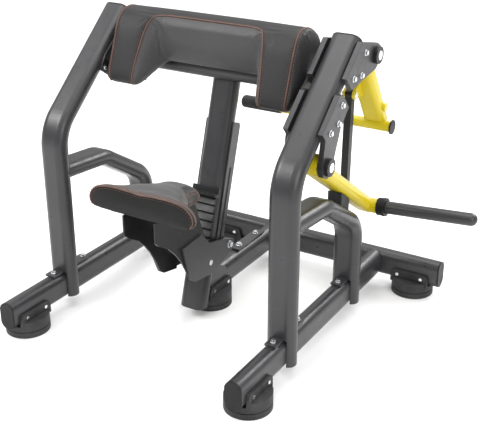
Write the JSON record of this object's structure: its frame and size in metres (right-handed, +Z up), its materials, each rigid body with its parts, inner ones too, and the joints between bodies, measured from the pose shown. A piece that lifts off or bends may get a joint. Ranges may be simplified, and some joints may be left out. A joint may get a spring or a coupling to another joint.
{
  "type": "seated arm curl machine",
  "caption": "Plate-loaded seated arm-curl machine: oval-tube frame, sloped arm pad, height-adjustable seat, one-sided curl arm linked to a weight lever with a horn.",
  "frame": {"origin": "centre of the footprint box, on the floor", "axes": "+Z up, +Y the way the seated user faces, +X to the side that carries the weight horn"},
  "size_m": [1.7478, 1.263, 1.174],
  "materials": {
    "frame_paint": "textured dark grey powder coat",
    "plate_paint": "textured dark grey powder coat",
    "black_steel": "satin black paint",
    "black_plastic": "moulded black",
    "board": "black stained plywood",
    "upholstery": "charcoal synthetic leather over foam",
    "bright_steel": "zinc-bright",
    "yellow_paint": "gloss yellow powder coat",
    "rubber": "moulded",
    "horn_steel": "satin black"
  },
  "bodies": {
    "frame": {"side_rail_left": "frame_paint", "side_rail_right": "frame_paint", "rear_cross_rail": "frame_paint", "centre_rail": "frame_paint", "rail_end_caps": "black_plastic", "upright_left": "frame_paint", "upright_right": "frame_paint", "upright_end_caps": "black_plastic", "brace_left": "frame_paint", "brace_right": "frame_paint", "cross_beam": "frame_paint", "beam_end_plates": "black_steel", "seat_post": "frame_paint", "guide_plates": "frame_paint", "guide_liners": "black_plastic", "seat_rack": "black_steel", "rack_top_stop": "black_steel", "pad_supports": "black_steel", "pad_brackets": "black_steel", "pad_board": "board", "arm_pad": "upholstery", "pad_bolts": "bright_steel", "upper_plate_outer": "plate_paint", "upper_plate_inner": "plate_paint", "lower_plate_outer": "plate_paint", "lower_plate_inner": "plate_paint", "plate_bolts": "bright_steel", "upper_shaft": "black_steel", "lower_shaft": "black_steel", "pivot_caps": "bright_steel", "lever_stop": "rubber", "mount_tabs": "frame_paint", "frame_bolts": "bright_steel", "post_flange": "frame_paint", "foot_left": "rubber", "foot_right": "rubber", "foot_centre": "rubber", "foot_rear_left": "rubber", "foot_rear_mid": "rubber", "foot_rear_right": "rubber", "foot_screws": "bright_steel"},
    "curl_arm": {"curl_arm": "yellow_paint", "curl_bar": "yellow_paint", "curl_bar_cap": "black_plastic", "curl_grip": "rubber", "link_pin_upper": "bright_steel"},
    "link_rod": {"link_rod": "black_steel", "link_pin_lower": "bright_steel"},
    "weight_lever": {"weight_lever": "yellow_paint", "weight_horn": "horn_steel", "horn_collar": "black_plastic"},
    "seat": {"seat_side_plates": "black_steel", "carriage_plates": "frame_paint", "carriage_rollers": "rubber", "carriage_pins": "bright_steel", "seat_pan": "board", "seat_cushion": "upholstery"}
  },
  "joints": [
    {"name": "curl", "type": "hinge", "parent": "frame", "child": "curl_arm", "pos_m": [0.4121, 0.2295, 1.066], "axis": [1, 0, 0], "range_deg": [0, 100]},
    {"name": "link", "type": "hinge", "parent": "curl_arm", "child": "link_rod", "pos_m": [0.3831, 0.2495, 0.901], "axis": [1, 0, 0], "range_deg": [-112, 2]},
    {"name": "lever", "type": "hinge", "parent": "frame", "child": "weight_lever", "pos_m": [0.4121, -0.1345, 0.761], "axis": [1, 0, 0], "range_deg": [-1, 31]},
    {"name": "seat_height", "type": "slide", "parent": "frame", "child": "seat", "axis": [0, 0.2874, 0.9578], "range_m": [-0.032, 0.096]}
  ],
  "couplings": [
    {"joint": "lever", "follows": "curl", "ratio": 0.29766},
    {"joint": "link", "follows": "curl", "ratio": -1.0937}
  ]
}
